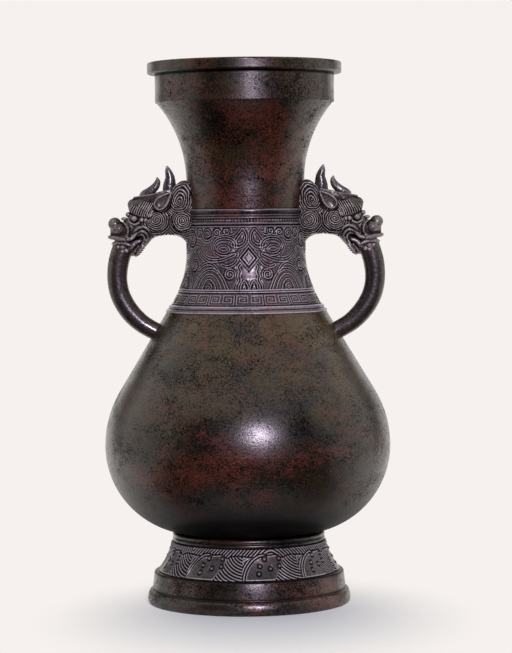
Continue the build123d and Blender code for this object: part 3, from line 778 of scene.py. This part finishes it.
def pressLines(clay):
    u = clay.axes[0][:, None]
    w = clay.axes[2][None, :]
    best = np.full((u.shape[0], w.shape[1]), 1e9)
    lines = np.zeros(best.shape)
    for middleU, middleW, weight, way, drawn, angle in headCurls.values():
        a, b = u - middleU, w - middleW
        toward = a * math.cos(math.radians(angle)) + b * math.sin(math.radians(angle))
        aslant = b * math.cos(math.radians(angle)) - a * math.sin(math.radians(angle))
        out = np.hypot(aslant, np.where(toward > 0, toward / drawn, toward))
        wobble = 0.25 * np.sin(0.8 * u + 0.5) * np.sin(0.7 * w + 1.2)
        turn = np.arctan2(b, a) / (2 * np.pi) * way
        wave = 2 * combed(out + wobble - turn * head["linePitch"], head["linePitch"], 1.2) - 1.2
        nearer = out / weight < best
        lines = np.where(nearer, wave, lines)
        best = np.where(nearer, out / weight, best)
    face = smoothStep(45.5, 43.5, u) * smoothStep(25.5, 23, w + 0.05 * u)
    brow = smoothStep(1.0, 0.86, np.hypot((u - 34.6) / 11.0, (w - 7.6 + (u - 34.6) * 0.12) / 8.4))
    ear = smoothStep(1.0, 0.85, np.hypot(((u - 17.0) * 0.68 - (w - 12.0) * 0.73) / 10.0,
                                         ((u - 17.0) * 0.73 + (w - 12.0) * 0.68) / 6.6))
    eye = smoothStep(1.0, 0.85, np.hypot((u - 36.6) / 8.4, (w + 1.6) / 4.6))
    bare = smoothStep(11, 13, w) * smoothStep(13, 16, u)
    mouth = smoothStep(8.4, 7.4, np.hypot(u - 33.6, w + 14.2))
    mouth = np.maximum(mouth, smoothStep(35, 36.5, u) * smoothStep(-11.5, -13, w))
    nostril = smoothStep(8.6, 7.6, np.hypot(u - 48.5, w + 8.4))
    quiet = np.maximum.reduce([brow, ear, eye, bare, mouth, nostril])
    depth = head["lineDepth"] * lines * face * (1 - quiet)
    outward = smoothStep(1.0, 5.0, clay.axes[1])[None, :, None]
    clay.field = clay.field - depth[:, None, :] * outward


def modelHead():
    clay = Clay(head["low"], head["high"], head["step"])
    skullField(clay)
    # mane locks and cheek, each a dome under its curl
    clay.ball((3.2, 13.5, 14.5), (12.5, 5.6, 8.0), lean=107, softness=1.6)
    clay.ball((5.2, 15.8, 11.0), (5.4, 4.2, 5.4), softness=1.6)
    clay.ball((2.4, 16.4, -3.2), (7.4, 4.6, 7.4), softness=1.2)
    clay.ball((21.5, 13.2, -2.8), (7.6, 4.8, 7.4), softness=1.6)
    # jaw, and the locks of the beard behind it
    clay.tube(((30, 0, -11.5, 6.5), (36, 0, -19.3, 5.7), (41, 0, -23.4, 5.6)), softness=1.2, flat=0.62)
    for start, side in ((31.4, 8.6), (31.8, 5.8), (32.2, 2.9), (32.4, 0.0)):
        clay.tube(((start, side, -16.5, 1.4), (start + 1.4, side, -21.5, 1.6),
                   (start + 4.0, side * 0.92, -25.8, 1.4), (start + 6.0, side * 0.85, -28.6, 0.7)),
                  softness=0.4)
    pressLines(clay)
    # crown under the strap, and the bushy brow with a smooth bulge in front
    clay.tube(((12, 9.5, 17.2, 3.0), (19, 9.8, 15.4, 3.0), (25, 9.2, 13.8, 3.0), (31, 8.2, 12.8, 2.8),
               (36, 7.0, 12.0, 2.4)), softness=1.2)
    clay.ball((33.4, 8.4, 7.4), (9.4, 6.4, 6.6), lean=-8, softness=0.8)
    clay.ball((39.0, 6.6, 9.2), (4.4, 5.2, 4.3), softness=0.7)
    # nose, nostrils and the two curls on the bridge
    clay.tube(((41, 0, -3.8, 4.6), (46.5, 0, -8.0, 4.2), (51, 0, -7.6, 4.4)), softness=1.2)
    clay.ball((53.3, 0, -4.9), (4.9, 6.6, 4.8), softness=0.4)
    clay.ball((49.9, 6.4, -8.8), (4.2, 4.2, 4.2), softness=0.3)
    clay.ball((52.8, 9.2, -10.0), (1.3, 1.6, 1.2), softness=0.4, carve=True)
    clay.ball((43.1, 4.4, 1.9), (2.0, 2.6, 1.9), softness=0.3)
    clay.ball((46.3, 2.8, -1.2), (2.2, 2.4, 1.3), softness=0.3)
    clay.strand(((48.6, -3.6, 0.6), (45.4, -4.8, 0.8), (43.2, -8.2, 0.9), (43.4, -12.2, 0.8),
                 (46.2, -14.4, 0.7)))
    clay.strand(((44.2, -2.6, 0.5), (41.4, -5.4, 0.7), (40.2, -9.2, 0.8), (40.8, -12.6, 0.6)))
    # strands of the brow, falling forward; the front ones are short and leave the bulge bare
    grooves = []
    for number in range(head["browStrands"]):
        u = head["browFront"] - head["browPitch"] * number
        w = float(np.interp(u, (26.4, 30.2, 35.1, 38.8, 41.9), (0.5, 0.5, 1.4, 2.9, 4.5)))
        rise = head["shortRise"] if number < head["shortStrands"] else head["longRise"]
        clay.strand(((u - 0.5 * rise, w + rise, 0.35), (u - 0.28 * rise, w + 0.62 * rise, 0.5),
                     (u - 0.1 * rise, w + 0.3 * rise, 0.6), (u, w, 0.7)), lift=0.3, softness=0.1)
        u -= head["browGroove"]
        grooves.append(((u - 0.5 * rise, w + rise, 0.3), (u - 0.28 * rise, w + 0.62 * rise, 0.4),
                        (u - 0.1 * rise, w + 0.3 * rise, 0.45), (u, w - 0.2, 0.5)))
    for groove in grooves:
        clay.strand(groove, lift=0.1, softness=0.1, carve=True)
    clay.strand(((41.8, 2.8, 0.5), (38.6, 1.2, 0.7), (35.0, -0.3, 0.7), (30.2, -1.1, 0.7),
                 (26.2, -1.1, 0.5)), carve=True)
    # strap from the ear over the brow
    clay.tube(((12, 11, 19.2, 1.1), (19, 11.4, 17.6, 1.2), (25, 10.8, 16.0, 1.2), (31, 9.6, 15.0, 1.2),
               (36, 8.2, 14.4, 1.1), (38.6, 7.2, 14.2, 0.8)), softness=0.5)
    # eye in its socket, the lid below it, and the lumps behind
    socket = [(38.4 + 2.9 * math.cos(a), -1.2 + 2.9 * math.sin(a), 0.6)
              for a in np.linspace(0, 2 * np.pi, 13)]
    clay.strand(socket, carve=True)
    clay.lump(38.4, -1.2, 2.2, 0.1)
    clay.strand(((42.8, -1.8, 0.6), (41.4, -4.2, 0.8), (38.2, -5.4, 0.9), (35.0, -4.2, 0.8),
                 (34.4, -2.2, 0.6)))
    clay.lump(32.6, -2.2, 1.8)
    clay.lump(29.6, -2.4, 1.7)
    clay.lump(27.0, -3.4, 1.3)
    # folds round the corner of the mouth; the middle one is the lip, and runs down the jaw
    clay.strand(((40.6, -13.4, 0.7), (36.6, -8.8, 1.1), (32.0, -7.2, 1.2), (28.2, -9.0, 1.1),
                 (26.6, -12.8, 0.7)))
    clay.tube(((57.4, 0, -14.6, 1.3), (55.8, 4.2, -14.8, 1.5), (52.2, 7.6, -15.4, 1.6),
               (47.6, 9.6, -16.4, 1.6), (43.4, 10.6, -16.4, 1.5), (40.8, 11.0, -15.8, 1.2)), softness=0.4)
    clay.strand(((43.0, -16.4, 1.0), (40.4, -15.6, 1.3), (36.6, -12.0, 1.3), (32.6, -10.4, 1.2),
                 (29.6, -12.0, 1.1), (28.9, -15.2, 1.1), (30.8, -19.4, 1.0), (33.8, -23.8, 0.9),
                 (36.4, -27.2, 0.7)))
    clay.strand(((41.0, -17.8, 0.8), (36.8, -14.0, 0.9), (33.4, -12.9, 0.9), (31.3, -14.4, 0.9),
                 (31.2, -17.4, 0.8), (33.4, -21.6, 0.8), (36.4, -25.8, 0.6)))
    clay.strand(((47.0, -17.9, 0.8), (41.6, -18.8, 1.2), (37.8, -16.1, 1.5), (34.6, -15.2, 1.4),
                 (33.4, -16.6, 0.9)), lift=0.3, carve=True)
    # tongue, lower lip and the lobes of the beard that hold the loop
    clay.strand(((34.8, -17.8, 1.1), (37.6, -19.0, 1.7), (40.6, -21.8, 1.9), (43.4, -24.4, 1.2)), lift=-0.2)
    clay.strand(((35.6, -21.8, 1.0), (38.2, -24.6, 1.4), (41.0, -26.8, 1.1)), lift=-0.2)
    clay.tube(((54.6, 0, -19.6, 1.3), (53.2, 4.4, -19.2, 1.4), (49.4, 7.8, -19.0, 1.4),
               (45.0, 9.4, -19.6, 1.3), (41.8, 10.0, -20.8, 0.9)), softness=0.3)
    for middle, radius in (((47.2, 7.8, -21.8), 1.9), ((44.4, 8.4, -24.6), 1.7), ((50.2, 6.2, -22.0), 1.6),
                           ((47.4, 7.4, -25.2), 1.3)):
        clay.ball(middle, (radius, radius, radius), softness=0.35)
    # ears: a broad leaf with a raised rim and a hollow heart, and the groove behind it
    clay.ball((17.2, 15.4, 11.4), (8.6, 3.0, 5.4), lean=-46, splay=8, softness=0.3)
    clay.ball((17.0, 21.0, 11.6), (9.2, 4.2, 5.6), lean=-46, splay=8, softness=0.4, carve=True)
    rim = []
    for a in np.linspace(0, 2 * np.pi, 25):
        along, aslant = -0.9 - 7.7 * math.cos(a), 5.0 * math.sin(a) * math.sin(a / 2)
        rim.append((17.2 + 0.7 * along + 0.72 * aslant, 11.4 - 0.72 * along + 0.7 * aslant, 0.75))
    clay.strand(rim, lift=0.15)
    clay.tube(((24.0, 14.6, 5.4, 0.8), (20.6, 15.3, 3.2, 0.9), (15.4, 15.6, 3.8, 0.9),
               (11.0, 15.8, 8.2, 0.9), (9.2, 15.6, 14.4, 0.9), (9.6, 14.8, 19.6, 0.8)),
              softness=0.3, carve=True)
    # horns, and the flame-shaped lock between them
    clay.tube(((12.4, 6.0, 17.0, 4.9), (12.4, 6.2, 22.5, 4.7), (11.9, 6.5, 28.0, 3.5),
               (12.4, 6.7, 31.0, 2.9), (13.3, 6.9, 34.0, 2.1), (14.0, 7.0, 37.2, 0.6)),
              softness=1.0, flat=1.25)
    clay.tube(((33.0, 0, 16.2, 1.9), (31.0, 0, 17.2, 2.7), (28.2, 0, 18.4, 3.1), (25.2, 0, 20.2, 3.2),
               (22.8, 0, 22.6, 2.9), (21.4, 0, 25.2, 2.3), (21.2, 0, 27.2, 1.5), (21.6, 0, 29.2, 0.5)),
              softness=0.5, flat=0.75)
    clay.tube(((31.6, 4.6, 17.2, 0.8), (28.2, 5.4, 18.8, 1.3), (25.0, 5.2, 21.0, 1.2),
               (22.2, 4.0, 25.0, 0.6)), softness=0.4, carve=True)
    # an uneven skin, and the seat on the neck, a little inside its surface so that no gap shows
    u, v, w = np.meshgrid(*clay.axes, indexing="ij", sparse=True)
    clay.field += head["unevenness"] * np.sin(1.9 * u + 0.7) * np.sin(1.7 * v + 0.4) * np.sin(2.2 * w + 1.1)
    seat = head["neckRadius"] - head["sunk"] - np.sqrt((head["neckRadius"] + u) ** 2 + v ** 2)
    clay.field = np.maximum(clay.field, seat)
    return clay.skin()


def makeHeads():
    points, quads = largestPart(*modelHead())
    out, aside, up = points.T
    # ridges lightened as rubbed wear and painted highlight, hollows darkened as painted shade
    rubbedAndPaintedLight = ridgeAndHollowShares(points, quads, head["standingPasses"], head["standingDepth"])
    # the nose is lightened too, as rubbed wear and a painted highlight, and the heart of each ear as painted
    # light
    nose = smoothStep(50.5, 52.5, out) * smoothStep(-13.0, -11.0, up)
    earHeart = smoothStep(1.0, 0.7, np.hypot(out - 17.0, up - 11.6) / 6.0) * (np.abs(aside) > 14)
    rubbedAndPaintedLight = np.maximum.reduce([rubbedAndPaintedLight, 1.6 * nose - 1, 1.4 * earHeart - 1])
    for name, sign, node in (("rightBeastHead", 1, "right_beast_head"),
                             ("leftBeastHead", -1, "left_beast_head")):
        vertices = np.stack([sign * (head["neckRadius"] + out), aside, head["middle"] + up], 1)
        makePiece(name, vertices, quads[:, ::sign], headBronze, node, rubbedAndPaintedLight)


makeHeads()


# Handle loops: a round bar from the beast's mouth to the shoulder

loop = {
    "line": ((43.7, 0, -14.0, 7.7), (48.0, 0, -24.0, 7.8), (51.1, 0, -35.0, 7.7), (51.9, 0, -46.2, 7.45),
             (50.2, 0, -56.4, 7.4), (46.2, 0, -65.2, 7.35), (40.8, 0, -72.6, 7.2), (34.2, 0, -78.8, 6.9),
             (27.6, 0, -83.0, 6.7), (21.6, 0, -86.0, 6.6)),
    "around": 64, "perSpan": 14,
}


def loopRings():
    line = smoothLine(loop["line"], loop["perSpan"])
    centre = line[:, [0, 2]]
    along = np.gradient(centre, axis=0)
    along /= np.linalg.norm(along, axis=1)[:, None]
    radius = line[:, 3:4]
    outward = np.stack([-along[:, 1], along[:, 0]], 1)
    angle = np.arange(loop["around"]) * 2 * np.pi / loop["around"]
    u = centre[:, :1] + outward[:, :1] * radius * np.cos(angle)
    w = centre[:, 1:] + outward[:, 1:] * radius * np.cos(angle)
    v = np.broadcast_to(radius * np.sin(angle), u.shape)
    return np.stack([head["neckRadius"] + u, v, head["middle"] + w], -1)


def makeLoops():
    rings = loopRings()
    rows, columns = rings.shape[:2]
    # flat ends close the bar, filled from side to side
    i = np.arange(columns // 2 - 1)
    end = np.stack([i, i + 1, columns - 2 - i, columns - 1 - i], 1)
    sides = ringFaces(rows, columns)[:(rows - 1) * columns]
    faces = np.vstack([sides, end[:, ::-1], end + (rows - 1) * columns])
    vertices = rings.reshape(-1, 3)
    for name, sign, node in (("rightHandleLoop", 1, "right_handle_loop"),
                             ("leftHandleLoop", -1, "left_handle_loop")):
        makePiece(name, vertices * (sign, 1, 1), faces[:, ::-sign], loopBronze, node)


makeLoops()


# CAD pieces that show as they are

for name, material in (("mouth_lip", vesselBronze), ("neck", vesselBronze), ("belly", vesselBronze),
                       ("base_plate", innerBronze), ("head_rivets", innerBronze),
                       ("loop_rivets", innerBronze)):
    node = nodes[name]
    node.data.materials.clear()
    node.data.materials.append(material)
print("CAD pieces coloured")


# Stage: a pale floor that fades out into the pale ground, a white tent, and a lamp behind the camera,
# above it and a little to the right

stage = {
    "ground": "#f6f1ee", "tent": "#fff6ea", "cameraSide": "#161516", "floorRadius": 0.42,
    "paper": "#e3f0f2", "paperFade": (0.02, 0.17), "paperMiddle": (-0.006, 0.06, 0.0),
    "paperDrawn": (1.0, 0.75, 1.0), "lowTilt": 0.9, "asideFade": (-0.62, -0.30), "aboveFade": (0.45, 0.75),
    "seamPlace": 0.64, "seamLean": 0.42, "seamFade": (0.0675, 0.135), "seamWidens": 1.6,
    "seamEnds": (-0.05, -0.3), "sideCloth": 0.6, "backCloth": (0.0, 0.6),
    "lampPlace": (0.665, -4.03, 1.459), "lampAim": (0, 0, 0.2), "lampSize": 0.48, "lampPower": 160.0,
    "lampColour": "#f8e7ff",
}


def makeFloor():
    mesh = bpy.data.meshes.new("floor")
    r = stage["floorRadius"]
    mesh.from_pydata([(-r, -r, 0), (r, -r, 0), (r, r, 0), (-r, r, 0)], [], [(0, 1, 2, 3)])
    floor = bpy.data.objects.new("floor", mesh)
    scene.collection.objects.link(floor)
    material, tree = newMaterial("pale paper floor")
    place = addNode(tree, "ShaderNodeTexCoord").outputs["Object"]
    shifted = addNode(tree, "ShaderNodeVectorMath", {0: place, 1: stage["paperDrawn"],
                                                     2: stage["paperMiddle"]}, operation="MULTIPLY_ADD")
    away = addNode(tree, "ShaderNodeVectorMath", {0: shifted}, operation="LENGTH").outputs["Value"]
    fade = addNode(tree, "ShaderNodeMapRange", {"Value": away, **fromTo(stage["paperFade"])},
                   interpolation_type="SMOOTHSTEP")
    paper = addNode(tree, "ShaderNodeBsdfDiffuse", {"Color": colour(stage["paper"])})
    clear = addNode(tree, "ShaderNodeBsdfTransparent")
    shown = addNode(tree, "ShaderNodeMixShader", {0: fade, 1: paper, 2: clear})
    addNode(tree, "ShaderNodeOutputMaterial", {"Surface": shown})
    mesh.materials.append(material)


def makeWorld():
    world = bpy.data.worlds.new("white tent")
    scene.world = world
    world.use_nodes = True
    tree = world.node_tree
    tree.nodes.clear()
    direction = addNode(tree, "ShaderNodeTexCoord").outputs["Generated"]
    parts = addNode(tree, "ShaderNodeSeparateXYZ", {0: direction}).outputs
    back, up = parts["Y"], parts["Z"]
    # white cloth at the sides, behind the vase and above; open towards the camera, most of all low down
    low = addNode(tree, "ShaderNodeMath", {0: up, 1: 0.0}, operation="MINIMUM")
    tilted = addNode(tree, "ShaderNodeMath", {0: low, 1: stage["lowTilt"], 2: back},
                     operation="MULTIPLY_ADD")
    aside, above = (addNode(tree, "ShaderNodeMapRange", {"Value": value, **fromTo(stage[fade])},
                            interpolation_type="SMOOTHSTEP")
                    for value, fade in ((tilted, "asideFade"), (up, "aboveFade")))
    cloth = addNode(tree, "ShaderNodeMath", {0: aside, 1: above}, operation="MAXIMUM")
    # a dark seam on each side, where the back cloth meets the side cloths: it leans back,
    # widens upwards and ends low down
    level = addNode(tree, "ShaderNodeVectorMath", {0: direction, 1: (1.0, 1.0, 0.0)}, operation="MULTIPLY")
    around = addNode(tree, "ShaderNodeVectorMath", {0: level}, operation="NORMALIZE")
    turned = addNode(tree, "ShaderNodeSeparateXYZ", {0: around}).outputs["Y"]
    seamLine = addNode(tree, "ShaderNodeMath", {0: up, 1: stage["seamLean"], 2: stage["seamPlace"]},
                       operation="MULTIPLY_ADD")
    fromSeam = addNode(tree, "ShaderNodeMath", {0: turned, 1: seamLine}, operation="SUBTRACT")
    distance = addNode(tree, "ShaderNodeMath", {0: fromSeam}, operation="ABSOLUTE")
    widened = addNode(tree, "ShaderNodeMath", {0: up, 1: stage["seamWidens"], 2: 1.0},
                      operation="MULTIPLY_ADD")
    scaled = addNode(tree, "ShaderNodeMath", {0: distance, 1: widened}, operation="DIVIDE")
    seam = addNode(tree, "ShaderNodeMapRange", {"Value": scaled, **fromTo(stage["seamFade"])},
                   interpolation_type="SMOOTHSTEP")
    ended = addNode(tree, "ShaderNodeMapRange", {"Value": up, **fromTo(stage["seamEnds"])})
    seamShown = addNode(tree, "ShaderNodeMath", {0: seam, 1: ended}, operation="MAXIMUM")
    whole = addNode(tree, "ShaderNodeMath", {0: cloth, 1: seamShown}, operation="MULTIPLY")
    # the side cloths and the one above are a little dimmer than the back one
    dimmer = addNode(tree, "ShaderNodeMapRange", {"Value": back, **fromTo(stage["backCloth"]),
                                                  "To Min": stage["sideCloth"]})
    lit = addNode(tree, "ShaderNodeMath", {0: whole, 1: dimmer}, operation="MULTIPLY")
    room = addNode(tree, "ShaderNodeMix", {0: lit, 6: colour(stage["cameraSide"]), 7: colour(stage["tent"])},
                   data_type="RGBA").outputs[2]
    roomLight = addNode(tree, "ShaderNodeBackground", {"Color": room, "Strength": 1.0})
    # the camera sees one even pale ground, and so do glossy and see-through rays that meet white cloth
    ground = addNode(tree, "ShaderNodeBackground", {"Color": colour(stage["ground"]), "Strength": 1.0})
    rays = addNode(tree, "ShaderNodeLightPath").outputs
    mirrored = addNode(tree, "ShaderNodeMath", {0: rays["Is Glossy Ray"], 1: rays["Is Transmission Ray"]},
                       operation="MAXIMUM")
    clothSeen = addNode(tree, "ShaderNodeMath", {0: mirrored, 1: lit}, operation="MULTIPLY")
    pale = addNode(tree, "ShaderNodeMath", {0: clothSeen, 1: rays["Is Camera Ray"]}, operation="MAXIMUM")
    seen = addNode(tree, "ShaderNodeMixShader", {0: pale, 1: roomLight, 2: ground})
    addNode(tree, "ShaderNodeOutputWorld", {"Surface": seen})


def makeLamp():
    light = bpy.data.lights.new("lamp behind the camera", "AREA")
    light.shape = "DISK"
    light.size = stage["lampSize"]
    light.energy = stage["lampPower"]
    light.color = colour(stage["lampColour"])[:3]
    lamp = bpy.data.objects.new(light.name, light)
    lamp.location = stage["lampPlace"]
    lamp.rotation_euler = (Vector(stage["lampAim"]) - lamp.location).to_track_quat("-Z", "Y").to_euler()
    scene.collection.objects.link(lamp)


makeFloor()
makeWorld()
makeLamp()


# Camera: nearly level, a long lens, the vase a little left of the middle and leaning by half a degree

camera = {"place": (0.0, -1.83, 0.291), "aim": (0.0069, 0.0, 0.2046), "lens": 136.0,
          "sensor": 36.0, "roll": -0.55}


def makeCamera():
    data = bpy.data.cameras.new("camera")
    data.lens = camera["lens"]
    data.sensor_width = camera["sensor"]
    data.sensor_fit = "AUTO"
    cameraObject = bpy.data.objects.new("camera", data)
    cameraObject.location = camera["place"]
    aim = Vector(camera["aim"]) - cameraObject.location
    turn = aim.to_track_quat("-Z", "Y")
    roll = Euler((0, 0, math.radians(camera["roll"]))).to_quaternion()
    cameraObject.rotation_euler = (turn @ roll).to_euler()
    scene.collection.objects.link(cameraObject)
    scene.camera = cameraObject


makeCamera()
scene.view_settings.view_transform = "Standard"
print("stage made")
